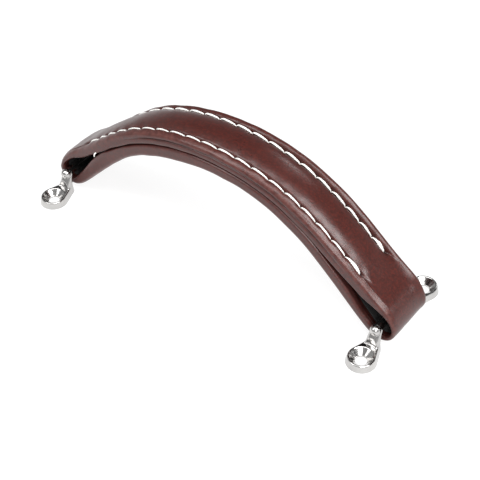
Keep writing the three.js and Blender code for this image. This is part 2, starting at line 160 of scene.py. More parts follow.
FEATURE = {
    "seam": np.where(IS_U, clamp01((101 - np.abs(ST_X)) / 3), 0.0),
    "upper": IS_U.astype(float),
    "end": clamp01((np.abs(ST_X) - 84) / 16),
    "crown": np.where(IS_TOP, clamp01((114 - np.abs(ST_X)) / 24) * lerp(CROWN_X, ST_X), 0.0),
    "drop": np.where(IS_TOP, lerp(REAR_DROOP, ST_X), 0.0),
    "front": np.where(IS_TOP, lerp(FRONT_CREST, ST_X), 0.0),
    "rear": np.where(IS_TOP, lerp(REAR_CREST, ST_X), 0.0),
    "crease": np.where(IS_U, clamp01((78 - np.abs(ST_X - 12)) / 30), 0.0),
    "onto": IS_TOP.astype(float),
    "lower": np.array([r == "l" for r in RUN], float),
    "nose": np.array([r == "n" for r in RUN], float),
}


def rings(step_top, step_rest):
    """Loop parameters spaced by arc length of the outer line, finer on top."""
    k = np.linspace(0, N, 24001)
    P = catmull_closed(ST_O, k)
    top = np.interp(np.mod(k, N), np.arange(N + 1), np.append(FEATURE["upper"], FEATURE["upper"][0]))
    nose = np.interp(np.mod(k, N), np.arange(N + 1), np.append(FEATURE["nose"], FEATURE["nose"][0]))
    step = step_rest + (step_top - step_rest) * np.maximum(top, 0.75 * nose)
    ds = np.linalg.norm(np.diff(P, axis=0), axis=1)
    c = np.concatenate([[0], np.cumsum(ds / (0.5 * (step[1:] + step[:-1])))])
    n = int(round(c[-1]))
    kk = np.interp(np.arange(n) / n * c[-1], c, k)
    s = np.interp(kk, k, np.concatenate([[0], np.cumsum(ds)]))
    return kk, s, float(ds.sum())


def feature(name, k, soften=0):
    v = np.interp(np.mod(k, N), np.arange(N + 1), np.append(FEATURE[name], FEATURE[name][0]))
    for _ in range(soften):
        v = (np.roll(v, 1) + 2 * v + np.roll(v, -1)) / 4
    return v


# -------------------------------------------------------------- mesh utilities

def make_object(name, verts_mm, faces, material, body, replaces=(), points=None, corners=None, sharp=None):
    me = bpy.data.meshes.new(name)
    me.from_pydata((np.asarray(verts_mm) * MM).tolist(), [], [tuple(f) for f in faces])
    me.validate()
    me.polygons.foreach_set("use_smooth", [True] * len(me.polygons))
    for key, val in (points or {}).items():
        a = me.attributes.new(key, "FLOAT", "POINT")
        a.data.foreach_set("value", np.asarray(val, np.float32).ravel())
    for key, val in (corners or {}).items():
        a = me.attributes.new(key, "FLOAT_VECTOR", "CORNER")
        a.data.foreach_set("vector", np.asarray(val, np.float32).ravel())
    me.materials.append(material)
    me.update()
    if sharp is not None:
        me.set_sharp_from_angle(angle=math.radians(sharp))
    ob = bpy.data.objects.new(name, me)
    bpy.context.scene.collection.objects.link(ob)
    if body:
        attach(ob, body)
        if replaces:
            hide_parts(*replaces)
    return ob


def band_faces(n, m):
    i, j = np.meshgrid(np.arange(n), np.arange(m), indexing="ij")
    i2, j2 = (i + 1) % n, (j + 1) % m
    q = np.stack([i * m + j, i2 * m + j, i2 * m + j2, i * m + j2], -1).reshape(-1, 4)
    return q, np.stack([i, i + 1, i + 1, i], -1).reshape(-1, 4), np.stack([j, j, j + 1, j + 1], -1).reshape(-1, 4)


def outward(V, F):
    """True if the faces of this closed mesh look outwards."""
    V = np.asarray(V, float)
    F = np.asarray(F)
    a, b, c = V[F[:, 0]], V[F[:, 1]], V[F[:, 2]]
    v = np.einsum("ij,ij->", a, np.cross(b, c))
    if F.shape[1] == 4:
        v += np.einsum("ij,ij->", a, np.cross(c, V[F[:, 3]]))
    return v > 0


def ripple(n, wave, amp, seed):
    """A smooth random field over two coordinates in mm, as a sum of plane waves."""
    r = np.random.RandomState(seed)
    ang = r.uniform(0, np.pi, n)
    lam = wave * r.uniform(0.6, 1.6, n)
    ph = r.uniform(0, 2 * np.pi, n)
    a = amp * r.uniform(0.5, 1.0, n) / math.sqrt(n / 2)

    def f(s, y):
        out = np.zeros(np.broadcast(s, y).shape)
        for k in range(n):
            out = out + a[k] * np.sin(2 * np.pi / lam[k] * (s * np.cos(ang[k]) + y * np.sin(ang[k])) + ph[k])
        return out
    return f


# -------------------------------------------------------------------- leather

def smooth_section(C, counts):
    """Catmull-Rom over control points C (rings, points, 2), with counts[j] parts in each span."""
    out = []
    m = C.shape[1]
    for j in range(m - 1):
        p1, p2 = C[:, j], C[:, j + 1]
        p0 = C[:, j - 1] if j else np.stack([-C[:, 1, 0], C[:, 1, 1]], 1)
        p3 = C[:, j + 2] if j + 2 < m else 2 * p2 - p1
        d0, d1, d2 = [np.maximum(np.sqrt(np.linalg.norm(b - a, axis=1)), 0.05)[:, None]
                      for a, b in ((p0, p1), (p1, p2), (p2, p3))]
        t1 = ((p1 - p0) / d0 - (p2 - p0) / (d0 + d1) + (p2 - p1) / d1) * d1
        t2 = ((p2 - p1) / d1 - (p3 - p1) / (d1 + d2) + (p3 - p2) / d2) * d1
        for q in range(counts[j]):
            w = q / counts[j]
            out.append(p1 + t1 * w + (-3 * p1 + 3 * p2 - 2 * t1 - t2) * w ** 2 + (2 * p1 - 2 * p2 + t1 + t2) * w ** 3)
    out.append(C[:, -1])
    return np.stack(out, 1)


def half_leather(k, t, x, z, side):
    """Half the leather's section at every ring: y, depth, wear, shade."""
    upper, end = feature("upper", k, 6), feature("end", k, 6)
    fade_out = clamp01((102.0 - np.abs(x)) / 10.5)
    onto = clamp01(2 * feature("onto", k, 6))
    seam = fade_out ** 2 * (3 - 2 * fade_out) * onto
    crest = feature("rear" if side > 0 else "front", k, 80)
    drop = feature("drop", k, 60) if side > 0 else np.zeros_like(k)
    crown = feature("crown", k, 60) + 0.3 * (1 - feature("upper", k, 60))
    crease = feature("crease", k, 14)
    w = HALF_W + (HALF_W_END - HALF_W) * end
    wide = onto * onto * (3 - 2 * onto) if side < 0 else 0 * seam  # the front roll is wider than it is deep
    r = np.minimum(2.2 + 0.8 * wide, (0.42 + 0.06 * wide) * (t + crest))
    ra = r + 2.2 * wide
    low, lip = r - crest, t - 0.5

    def blend(y, stitched):
        free = -(crown + (crest - crown) * np.minimum(y / 13.6, 1) ** 3.2) + 0.1 * crown
        return seam * (stitched + drop * np.minimum(1, y / SEAM_Y)) + (1 - seam) * free

    def rise(y):
        return -crown * (1 - (y / 10.6) ** 2.4)

    def pt(y, d):
        return np.stack([y + 0 * t, d + 0 * t], 1)

    def arc(deg):
        a = np.radians(deg)
        return pt(w - ra + ra * np.cos(a), low - r * np.sin(a))

    wall = SEAM_Y + (1.25 if side > 0 else 1.0)
    C = [pt(0, -crown)]
    C += [pt(y, blend(y, rise(y))) for y in (2.2, 4.2, 6.0, 7.4, 8.5, 9.4)]
    C += [pt(SEAM_Y - 0.85, blend(SEAM_Y - 0.85, GROOVE - 0.28)), pt(SEAM_Y, blend(SEAM_Y, GROOVE + 0.1)),
          pt(SEAM_Y + 0.8, blend(SEAM_Y + 0.8, GROOVE - 0.2)),
          pt(wall, blend(wall, GROOVE - (0.72 if side > 0 else 0.86) * (GROOVE + crest + drop)))]
    C += [arc(78 - 9 * wide), arc(61 - 3 * wide), arc(43), arc(22), pt(w, low)]
    # below the rolled edge: a fold line, then the turned edge down to the lip
    deep = 0.95 * crease
    C += [pt(w - 0.15 * crease, low + 0.12 * (lip - low)), pt(w - deep, low + 0.27 * (lip - low)),
          pt(w - 0.22 * crease, low + 0.4 * (lip - low)), pt(w, low + 0.62 * (lip - low)),
          pt(w - 0.06, low + 0.85 * (lip - low)), pt(w - 0.35, lip), pt(w - 1.3, t)]
    counts = [2, 2, 2, 2, 2, 2, 3, 3, 3, 3, 2, 2, 2, 2, 2, 2, 3, 3, 2, 2, 2, 2]
    S = smooth_section(np.stack(C, 1), counts)
    inner = [pt(w - 1.3 - 0.25 * (w - 1.3 - LIP_Y), t), pt(LIP_Y + 0.1, t), pt(LIP_Y, t - 0.12),
             pt(LIP_Y, t - RECESS + 0.1), pt(LIP_Y - 0.12, t - RECESS), pt(LIP_Y * 0.6, t - RECESS), pt(0, t - RECESS)]
    S = np.concatenate([S, np.stack(inner, 1)], 1)
    y, d = S[..., 0].copy(), S[..., 1].copy()

    # needle holes, the pinch round them, and slow unevenness of worked leather
    row = np.array(REAR_PITS if side > 0 else FRONT_PITS)
    X = x[:, None]
    pits = np.zeros_like(y)
    pinch = np.zeros_like(y)
    for xp in row:
        g = (X - xp)
        if side < 0 and xp > 90:
            g = g + 0.2
        pits += np.exp(-(g / 1.15) ** 2 - ((y - SEAM_Y) / 0.8) ** 2)
        pinch += np.exp(-(g / 2.8) ** 2 - ((y - SEAM_Y) / 3.0) ** 2)
    near_seam = clamp01((105 - np.abs(x)) / 9)
    near_seam = near_seam ** 2 * (3 - 2 * near_seam) * onto
    on_top = near_seam[:, None] * np.where(np.arange(y.shape[1]) < sum(counts[:14]), 1.0, 0.0)[None]
    d += on_top * (1.25 * np.minimum(pits, 1) + 0.42 * pinch - 0.12) * clamp01((15.0 - y) / 2.2)
    body = np.arange(y.shape[1]) < sum(counts)
    slow, fine = ripple(26, 19, 0.06, 5), ripple(30, 5.5, 0.007, 9)
    fade = clamp01((13.2 - y) / 2.0) * np.where(body[None], 1.0, 0.0)
    s_mm = (x + 0.45 * z)[:, None]         # runs on without a break all round the loop
    d += fade * (slow(s_mm * 0.8, side * y) + fine(s_mm, side * y))
    edge = clamp01((y - 13.2) / 1.5) * np.where(body[None], 1.0, 0.0)
    d -= edge * ripple(16, 15, 0.10, 31 if side > 0 else 37)(s_mm, d)
    # worn lighter along the rolled edges; painted shade darkens the fold line, the needle holes, the seam groove and
    # the inner face
    idx = np.arange(y.shape[1])[None]
    roll0, roll1 = sum(counts[:11]), sum(counts[:15])
    wear = np.exp(-((idx - (roll0 + roll1) / 2) / 3.6) ** 2) + 0 * y
    fold0 = sum(counts[:17])
    shade = np.clip(1.0 * np.minimum(pits, 1) * on_top + 0.5 * np.exp(-((idx - fold0) / 2.0) ** 2) * crease[:, None]
                    + 0.38 * np.exp(-((y - SEAM_Y) / 0.8) ** 2) * on_top * seam[:, None], 0, 1)
    # painted shade on the inner face of the loop as well
    shade = np.where(body[None], shade, 0.3)
    return y, d, wear, shade


def build_leather(material):
    k, s, total = rings(0.52, 1.5)
    O, I = catmull_closed(ST_O, k), catmull_closed(ST_I, k)
    for _ in range(25):                    # leather bends gently: no sudden change of curvature
        O = (np.roll(O, 1, 0) + 2 * O + np.roll(O, -1, 0)) / 4
    t = np.linalg.norm(I - O, axis=1)
    D = (I - O) / t[:, None]
    parts = []
    for side in (1, -1):
        y, d, wear, shade = half_leather(k, t, O[:, 0], O[:, 1], side)
        if side < 0:
            y, d, wear, shade = (a[:, 1:-1][:, ::-1] for a in (y, d, wear, shade))
        parts.append((side * y, d, wear, shade))
    Y, Dp, wear, shade = (np.concatenate([parts[0][q], parts[1][q]], 1) for q in range(4))
    V = np.stack([O[:, None, 0] + D[:, None, 0] * Dp, Y, O[:, None, 1] + D[:, None, 1] * Dp], -1)
    n, m = V.shape[:2]
    F, _, _ = band_faces(n, m)
    V = V.reshape(-1, 3)
    if not outward(V, F):
        F = F[:, ::-1]
    ob = make_object("leather_grip", V, F, material, "handle", ("leather_strap",),
                     points={"wear": wear, "shade": shade}, sharp=50)
    return ob


# --------------------------------------------------------------------- lining

def build_lining(material):
    k, s, total = rings(0.9, 1.1)
    O, I = catmull_closed(ST_O, k), catmull_closed(ST_I, k)
    t = np.linalg.norm(I - O, axis=1)
    D = (I - O) / t[:, None]
    W, T = LINING_HALF_W, LINING_T
    half = [(0, 0), (W * 0.35, 0), (W * 0.7, 0), (W - 0.5, 0), (W - 0.18, 0.08), (W, 0.3), (W, T - 0.3), (W - 0.18, T - 0.08),
            (W - 0.5, T), (W * 0.7, T), (W * 0.35, T), (0, T)]
    sec = half + [(-y, d) for y, d in half[1:-1][::-1]]
    Y = np.array([p[0] for p in sec])[None] + 0.12 * np.sin(s / 4.1)[:, None]
    d = np.array([p[1] for p in sec])[None] + (t - RECESS + GAP)[:, None]
    V = np.stack([O[:, None, 0] + D[:, None, 0] * d, Y + 0 * d, O[:, None, 1] + D[:, None, 1] * d], -1)
    n, m = V.shape[:2]
    F, fi, fj = band_faces(n, m)
    V = V.reshape(-1, 3)
    S = np.append(s, total)
    pos = np.concatenate([[0], np.cumsum(np.linalg.norm(np.diff(np.array(sec + sec[:1]), axis=0), axis=1))])
    flow = np.stack([S[fi] * MM, pos[fj] * MM, 0 * fi], -1)
    if not outward(V, F):
        F, flow = F[:, ::-1], flow[:, ::-1]
    return make_object("inner_band", V, F, material, "handle", ("inner_lining",),
                       corners={"flow": flow.reshape(-1, 3)}, sharp=60)


# -------------------------------------------------------------------- threads

def resample(P, R, step):
    """Catmull-Rom through the open points P (mm) with radii R, at even steps."""
    P, R = np.asarray(P, float), np.asarray(R, float)
    Q = np.concatenate([[2 * P[0] - P[1]], P, [2 * P[-1] - P[-2]]])
    pts, rad = [], []
    for j in range(len(P) - 1):
        p0, p1, p2, p3 = Q[j:j + 4]
        n = max(2, int(round(np.linalg.norm(p2 - p1) / step)))
        for q in range(n):
            w = q / n
            pts.append(0.5 * (2 * p1 + (p2 - p0) * w + (2 * p0 - 5 * p1 + 4 * p2 - p3) * w ** 2
                              + (3 * p1 - 3 * p2 + p3 - p0) * w ** 3))
            e = w * w * (3 - 2 * w)
            rad.append(R[j] * (1 - e) + R[j + 1] * e)
    pts.append(P[-1]); rad.append(R[-1])
    return np.array(pts), np.array(rad)


def twisted(P, R, side_dir, plies=3, pitch=3.4, depth=0.16, sides=15, flat=0.9):
    """A laid thread along P: lobes of its plies wind round it; ends closed to a point."""
    T = np.gradient(P, axis=0)
    T /= np.linalg.norm(T, axis=1)[:, None]
    B = side_dir - T * (T @ side_dir)[:, None]
    B /= np.linalg.norm(B, axis=1)[:, None]
    Nn = np.cross(B, T)
    s = np.concatenate([[0], np.cumsum(np.linalg.norm(np.diff(P, axis=0), axis=1))])
    th = np.linspace(0, 2 * np.pi, sides, endpoint=False)
    lobe = 1 + depth * (np.abs(np.cos(plies * 0.5 * (th[None] - 2 * np.pi * s[:, None] / pitch))) - 0.62)
    rr = R[:, None] * lobe
    V = P[:, None] + B[:, None] * (rr * np.cos(th))[..., None] + Nn[:, None] * (flat * rr * np.sin(th))[..., None]
    n, m = V.shape[:2]
    i, j = np.meshgrid(np.arange(n - 1), np.arange(m), indexing="ij")
    j2 = (j + 1) % m
    F = np.stack([i * m + j, (i + 1) * m + j, (i + 1) * m + j2, i * m + j2], -1).reshape(-1, 4)
    V = V.reshape(-1, 3)
    base = len(V)
    V = np.concatenate([V, [P[0] - T[0] * R[0] * 0.6], [P[-1] + T[-1] * R[-1] * 0.6]])
    caps = [(int((q + 1) % m), int(q), base) for q in range(m)]
    last = (n - 1) * m
    caps += [(int(last + q), int(last + (q + 1) % m), base + 1) for q in range(m)]
    faces = [tuple(int(a) for a in f) for f in F] + [tuple(c) for c in caps]
    tri = np.array([f[:3] for f in faces] + [(f[0], f[2], f[3]) for f in faces if len(f) == 4])
    if not outward(V, tri):
        faces = [f[::-1] for f in faces]
    return V, faces


def needle_path(row, side):
    P, R = [], []
    y0 = side * SEAM_Y
    droop = REAR_DROOP if side > 0 else [[0, 0], [1, 0]]

    def put(x, d, f, dy=0.0):
        px, pz = under(x, d + lerp(droop, x))
        P.append((float(px), y0 + dy, float(pz))); R.append(THREAD_R * f)

    n = len(row)
    slant = 0.22
    for i, x in enumerate(row):
        tail, last = i == n - 1, i == n - 2
        if i > 0:
            put(x - 2.6, -0.45 if tail else -0.12, 2.0 if tail else 1.12, -slant)
            put(x - 0.8, 0.35, 1.3 if tail else 0.8, -slant * 0.6)
        put(x, 1.75, 0.7, 0)
        if not tail:
            put(x + 0.75, 0.45, 0.8, slant * 0.6)
            put(x + 2.4, -0.2 if last else -0.12, 1.35 if last else 1.1, slant)
            put((x + row[i + 1]) / 2, -0.55 if last else -0.24, 2.1 if last else 1.28, 0)
    return P, R


def bobbin_path(row, side):
    r, P, R = 0.43, [], []

    def put(x, d):
        px, pz = under(x, lerp(UPPER_T, x) - RECESS + GAP + r + d)
        P.append((float(px), side * SEAM_Y, float(pz))); R.append(r)

    for i, x in enumerate(row):
        if i > 0:
            put(x - 0.75, -0.05)
        put(x, -1.3)
        if i < len(row) - 1:
            put(x + 0.75, -0.05)
            put((x + row[i + 1]) / 2, 0.06)
    return P, R


def build_threads(material):
    across = np.array([0.0, 1.0, 0.0])
    for name, row, side in (("front_needle", FRONT_PITS, -1), ("rear_needle", REAR_PITS, 1)):
        P, R = resample(*needle_path(row, side), 0.24)
        V, F = twisted(P, R, across)
        make_object(name + "_stitches", V, F, material, "handle", (name + "_thread",))
    for name, row, side in (("front_bobbin", FRONT_PITS, -1), ("rear_bobbin", REAR_PITS, 1)):
        P, R = resample(*bobbin_path(row, side), 0.4)
        V, F = twisted(P, R, across, sides=10, depth=0.1, flat=1.0)
        make_object(name + "_stitches", V, F, material, "handle", (name + "_thread",))
    # a cut end of thread left at the front seam
    P = [(-84.3, -14.4, 38.3), (-84.9, -15.6, 38.0), (-85.3, -16.5, 37.4), (-85.6, -16.7, 36.3), (-85.7, -16.5, 35.3)]
    P, R = resample(P, [0.34, 0.4, 0.42, 0.4, 0.3], 0.2)
    V, F = twisted(P, R, np.array([1.0, 0.0, 0.3]), plies=2, pitch=2.2, sides=10)
    make_object("thread_end", V, F, material, "handle")


# ------------------------------------------------------------------- brackets

def smin(a, b, k):
    h = np.clip(0.5 + 0.5 * (b - a) / k, 0, 1)
    return b + (a - b) * h - k * h * (1 - h)


def smax(a, b, k):
    return -smin(-a, -b, k)


def foot_outline(x, y):
    """Distance to the egg-shaped outline of the foot's top face, in plan."""
    r1, r2 = FOOT_R_TOP + FOOT_ROUND, NECK_R_TOP + FOOT_ROUND
    h = FOOT_Y - NECK_Y
    px, py = np.abs(x), FOOT_Y - y
    b = (r1 - r2) / h
    a = math.sqrt(1 - b * b)
    kk = px * -b + py * a
    d = np.where(kk < 0, np.hypot(px, py) - r1,
                 np.where(kk > a * h, np.hypot(px, py - h) - r2, px * a + py * b - r1))
    return d


def bracket_sdf(P):
    x, y, z = P[..., 0], np.abs(P[..., 1]), P[..., 2]
    rho = np.hypot(x, z - BAR_Z)
    bar = smax(rho - BAR_R, y - BALL_Y, 0.2)
    ball = np.sqrt(x ** 2 + (y - BALL_Y) ** 2 + (z - BAR_Z) ** 2) - BALL_R
    down = BAR_Z - z
    t = np.clip(down / 11.3, 0, 1)
    y_in = ARM_IN + 0.7 * np.minimum(1, t * 2.2)
    y_out = np.interp(np.clip(down, 0, 12.7), ARM_OUT[:, 0], ARM_OUT[:, 1])
    a, b, yc = ARM_R + 0.9 * t, (y_out - y_in) / 2, (y_in + y_out) / 2
    q = np.sqrt((x / a) ** 2 + ((y - yc) / b) ** 2)
    g = np.sqrt((x / a ** 2) ** 2 + ((y - yc) / b ** 2) ** 2) / np.maximum(q, 1e-3)
    post = (q - 1) / np.maximum(g, 0.12)
    post = smax(post, np.maximum(z - BAR_Z, 0.4 - z), 0.05)
    ry = (ARM_OUT[0, 1] - ARM_IN) / 2
    e = np.array([ARM_R, ry, 1.9])
    qx, qy, qz = x / e[0], (y - ARM_IN - ry) / e[1], (z - BAR_Z) / e[2]
    q = np.sqrt(qx ** 2 + qy ** 2 + qz ** 2)
    g = np.sqrt((qx / e[0]) ** 2 + (qy / e[1]) ** 2 + (qz / e[2]) ** 2) / np.maximum(q, 1e-3)
    cap = (q - 1) / np.maximum(g, 0.12)
    arm = smin(post, cap, 0.25)
    arm = smax(arm, DRIVER_R - np.hypot(x, y - FOOT_Y), 0.5)
    shoulder = FOOT_H - FOOT_ROUND
    grow = FOOT_DRAFT * np.clip((shoulder - z) / shoulder, -0.1, 1)
    side = (foot_outline(x, y) - grow) * math.cos(math.atan(FOOT_DRAFT / shoulder))
    foot = smax(side, z - FOOT_H, 0.7)
    body = smin(smin(foot, arm, 1.1), smin(ball, bar, 0.15), 0.45)
    r = np.hypot(x, y - FOOT_Y)
    slope = (SINK_R - HOLE_R) / (FOOT_H - SINK_LAND)
    cone = np.maximum((r - (HOLE_R + slope * (z - SINK_LAND))) / math.hypot(1, slope), z - FOOT_H - 1.2)
    sink = smin(cone, np.maximum(r - HOLE_R, z - FOOT_H - 1.2), 0.3)
    body = smax(body, -sink, 0.34)
    return smax(body, -z, 0.3)


def surface_nets(f, lo, hi, h):
    """A closed quad mesh of f = 0 on a grid, then moved onto the surface itself."""
    ax = [np.arange(l, u + h, h) for l, u in zip(lo, hi)]
    G = np.stack(np.meshgrid(*ax, indexing="ij"), -1)
    v = f(G)
    inside = v < 0
    n = np.array(v.shape) - 1
    acc = np.zeros((*n, 3))
    cnt = np.zeros(tuple(n))
    corner = [(i, j, k) for i in (0, 1) for j in (0, 1) for k in (0, 1)]

    def at(arr, c):
        return arr[c[0]:c[0] + n[0], c[1]:c[1] + n[1], c[2]:c[2] + n[2]]

    for a in corner:
        for q in range(3):
            if a[q]:
                continue
            b = list(a); b[q] = 1
            fa, fb = at(v, a), at(v, b)
            cross = (fa < 0) != (fb < 0)
            t = np.where(cross, fa / np.where(cross, fa - fb, 1), 0)
            off = [np.full(cross.shape, float(c)) for c in a]
            off[q] = t
            acc += np.where(cross[..., None], np.stack(off, -1), 0)
            cnt += cross
    used = cnt > 0
    ids = np.full(used.shape, -1)
    ids[used] = np.arange(used.sum())
    cell = np.argwhere(used)
    V = np.array(lo) + (cell + acc[used] / cnt[used][:, None]) * h
    faces = []
    for q in range(3):
        o1, o2 = [(1, 2), (2, 0), (0, 1)][q]
        sl0, sl1 = [slice(None)] * 3, [slice(None)] * 3
        sl0[q], sl1[q] = slice(0, -1), slice(1, None)
        for d in (o1, o2):
            sl0[d] = slice(1, -1); sl1[d] = slice(1, -1)
        s0, s1 = inside[tuple(sl0)], inside[tuple(sl1)]
        e = np.argwhere(s0 != s1)
        flip = s0[tuple(e.T)]
        e = e.copy(); e[:, o1] += 1; e[:, o2] += 1
        c = []
        for d1, d2 in ((-1, -1), (0, -1), (0, 0), (-1, 0)):
            w = e.copy(); w[:, o1] += d1; w[:, o2] += d2
            c.append(ids[tuple(w.T)])
        quad = np.stack(c, 1)
        quad[~flip] = quad[~flip][:, ::-1]
        faces.append(quad)
    F = np.concatenate(faces)

    def grad(P):
        g = np.empty_like(P)
        for q in range(3):
            d = np.zeros(3); d[q] = 0.03
            g[:, q] = (f(P + d) - f(P - d)) / 0.06
        return g

    for _ in range(4):
        g = grad(V)
        step = f(V)[:, None] * g / np.maximum((g ** 2).sum(1), 0.2)[:, None]
        ln = np.linalg.norm(step, axis=1)[:, None]
        V = V - step * np.minimum(1, 0.6 * h / np.maximum(ln, 1e-9))
    nrm = grad(V)
    nrm /= np.maximum(np.linalg.norm(nrm, axis=1), 1e-9)[:, None]
    return V, F, nrm


def build_brackets(material):
    h = 0.22
    V, F, nrm = surface_nets(bracket_sdf, (-9.07, -41.11, -0.53), (9.1, 41.2, 16.0), h)
    V[:, 2] = np.maximum(V[:, 2], 0)
    if not outward(V, F):
        F = F[:, ::-1]
    for name, x in (("left_bracket", -BAR_X), ("right_bracket", BAR_X)):
        ob = make_object(name + "_casting", V + np.array([x, 0, 0]), F, material, name, (name,))
        ob.data.normals_split_custom_set_from_vertices(nrm.tolist())


# ------------------------------------------------------------------ materials

class Graph:
    """A short hand for building a node material."""

    def __init__(self, name):
        self.mat = bpy.data.materials.new(name)
        self.mat.use_nodes = True
        self.nt = self.mat.node_tree
        self.nt.nodes.clear()
        self.out = self.nt.nodes.new("ShaderNodeOutputMaterial")
        self.bsdf = self.nt.nodes.new("ShaderNodeBsdfPrincipled")
        self.nt.links.new(self.bsdf.outputs[0], self.out.inputs["Surface"])

    def node(self, kind, **props):
        n = self.nt.nodes.new(kind)
        for key, val in props.items():
            setattr(n, key, val)
        return n

    def put(self, socket, value):
        if hasattr(value, "links"):
            self.nt.links.new(value, socket)
        else:
            socket.default_value = value

    def coords(self):
        return self.node("ShaderNodeTexCoord").outputs["Object"]

    def stretch(self, vec, scale, rot=(0, 0, 0)):
        n = self.node("ShaderNodeMapping")
        self.put(n.inputs["Vector"], vec)
        n.inputs["Scale"].default_value = scale
        n.inputs["Rotation"].default_value = rot
        return n.outputs[0]

    def noise(self, vec, scale, detail=3.0, rough=0.55, distort=0.0):
        n = self.node("ShaderNodeTexNoise")
        self.put(n.inputs["Vector"], vec)
        n.inputs["Scale"].default_value = scale
        n.inputs["Detail"].default_value = detail
        n.inputs["Roughness"].default_value = rough
        n.inputs["Distortion"].default_value = distort
        return n.outputs["Fac"]

    def voronoi(self, vec, scale, feature="F1", rand=1.0, smooth=0.4):
        n = self.node("ShaderNodeTexVoronoi", feature=feature)
        self.put(n.inputs["Vector"], vec)
        n.inputs["Scale"].default_value = scale
        n.inputs["Randomness"].default_value = rand
        if feature == "SMOOTH_F1":
            n.inputs["Smoothness"].default_value = smooth
        return n.outputs["Distance"]

    def wave(self, vec, scale, direction="X", profile="SIN", distort=0.0):
        n = self.node("ShaderNodeTexWave", wave_type="BANDS", bands_direction=direction, wave_profile=profile)
        self.put(n.inputs["Vector"], vec)
        n.inputs["Scale"].default_value = scale
        n.inputs["Distortion"].default_value = distort
        return n.outputs["Fac"]

    def attr(self, name, out="Fac"):
        return self.node("ShaderNodeAttribute", attribute_name=name).outputs[out]

    def ramp(self, fac, lo, hi, a=0.0, b=1.0):
        n = self.node("ShaderNodeMapRange", clamp=True)
        self.put(n.inputs["Value"], fac)
        for key, val in (("From Min", lo), ("From Max", hi), ("To Min", a), ("To Max", b)):
            n.inputs[key].default_value = val
        return n.outputs["Result"]

    def math(self, op, a, b=0.0):
        n = self.node("ShaderNodeMath", operation=op)
        self.put(n.inputs[0], a)
        self.put(n.inputs[1], b)
        return n.outputs[0]

    def mix(self, fac, a, b, blend="MIX"):
        n = self.node("ShaderNodeMix", data_type="RGBA", blend_type=blend)
        self.put(n.inputs["Factor"], fac)
        for key, val in ((6, a), (7, b)):
            if hasattr(val, "links"):
                self.nt.links.new(val, n.inputs[key])
            else:
                n.inputs[key].default_value = (*val, 1.0)
        return n.outputs[2]

    def bump(self, height, distance, strength=1.0, normal=None):
        n = self.node("ShaderNodeBump")
        n.inputs["Strength"].default_value = strength
        n.inputs["Distance"].default_value = distance
        self.put(n.inputs["Height"], height)
        if normal is not None:
            self.put(n.inputs["Normal"], normal)
        return n.outputs[0]

    def set(self, **values):
        for key, val in values.items():
            self.put(self.bsdf.inputs[key.replace("_", " ")], val)


def leather_material():
    g = Graph("leather_grain")
    co = g.coords()
    blotch = g.noise(co, 55, 4.0, 0.6, 0.4)
    mottle = g.noise(co, 420, 2.0, 0.5)
    grain = g.voronoi(co, 1250, "SMOOTH_F1", 1.0, 0.5)
    pores = g.noise(co, 2600, 3.0, 0.6)
    col = g.mix(g.ramp(blotch, 0.25, 0.75), (0.036, 0.0105, 0.0088), (0.049, 0.0135, 0.0110))
    col = g.mix(g.ramp(mottle, 0.2, 0.8, 0.0, 0.62), col, (0.075, 0.0180, 0.0142))
    col = g.mix(g.ramp(pores, 0.50, 0.72, 0.0, 0.12), col, (0.034, 0.0070, 0.0052))
    fleck = g.noise(co, 850, 3.0, 0.6)
    col = g.mix(g.ramp(fleck, 0.46, 0.68, 0.0, 0.46), col, (0.138, 0.0215, 0.0142))
    wear = g.math("MULTIPLY", g.attr("wear"), g.ramp(mottle, 0.36, 0.66, 0.1, 0.7))
    col = g.mix(wear, col, (0.125, 0.043, 0.035))
    # painted shade: towards near-black where the shade attribute is set (fold, needle holes, seam groove, inner face)
    col = g.mix(g.attr("shade"), col, (0.004, 0.0018, 0.0016))
    g.set(Base_Color=col, IOR=1.5, Specular_IOR_Level=0.5)
    rough = g.math("ADD", g.ramp(mottle, 0.2, 0.8, 0.27, 0.34), g.ramp(blotch, 0.3, 0.7, -0.02, 0.03))
    g.set(Roughness=g.math("ADD", rough, g.math("MULTIPLY", g.attr("shade"), 0.3)))
    n = g.bump(g.noise(g.stretch(co, (1.0, 0.35, 1.0)), 150, 3.0, 0.5, 0.3), 0.0002, 0.16)
    n = g.bump(grain, 0.00014, 0.2, n)
    n = g.bump(pores, 0.00008, 0.18, n)
    g.set(Normal=n)
    return g.mat


def thread_material():
    g = Graph("thread_laid")
    co = g.coords()
    soil = g.noise(co, 240, 3.0, 0.6)
    fibre = g.noise(g.stretch(co, (1.0, 1.0, 1.0)), 5200, 2.0, 0.5)
    col = g.mix(g.ramp(soil, 0.35, 0.7), (0.95, 0.94, 0.91), (0.84, 0.82, 0.78))
    col = g.mix(g.ramp(fibre, 0.4, 0.7, 0.0, 0.35), col, (0.99, 0.985, 0.97))
    g.set(Base_Color=col, Roughness=g.ramp(fibre, 0.3, 0.7, 0.55, 0.8), Sheen_Weight=0.25, Sheen_Roughness=0.4)
    g.set(Normal=g.bump(fibre, 0.00008, 0.6))
    return g.mat


def lining_material():
    g = Graph("lining_weave")
    flow = g.attr("flow", "Vector")
    warp = g.wave(flow, 480, "X")
    weft = g.wave(flow, 480, "Y")
    weave = g.math("MULTIPLY", warp, weft)
    fuzz = g.noise(g.coords(), 1400, 3.0, 0.6)
    col = g.mix(weave, (0.014, 0.0135, 0.014), (0.050, 0.047, 0.047))
    col = g.mix(g.ramp(fuzz, 0.45, 0.75, 0.0, 0.5), col, (0.034, 0.032, 0.031))
    g.set(Base_Color=col, Roughness=g.ramp(fuzz, 0.3, 0.7, 0.8, 0.95), Specular_IOR_Level=0.2)
    n = g.bump(weave, 0.0002, 0.6)
    g.set(Normal=g.bump(fuzz, 0.0001, 0.4, n))
    return g.mat


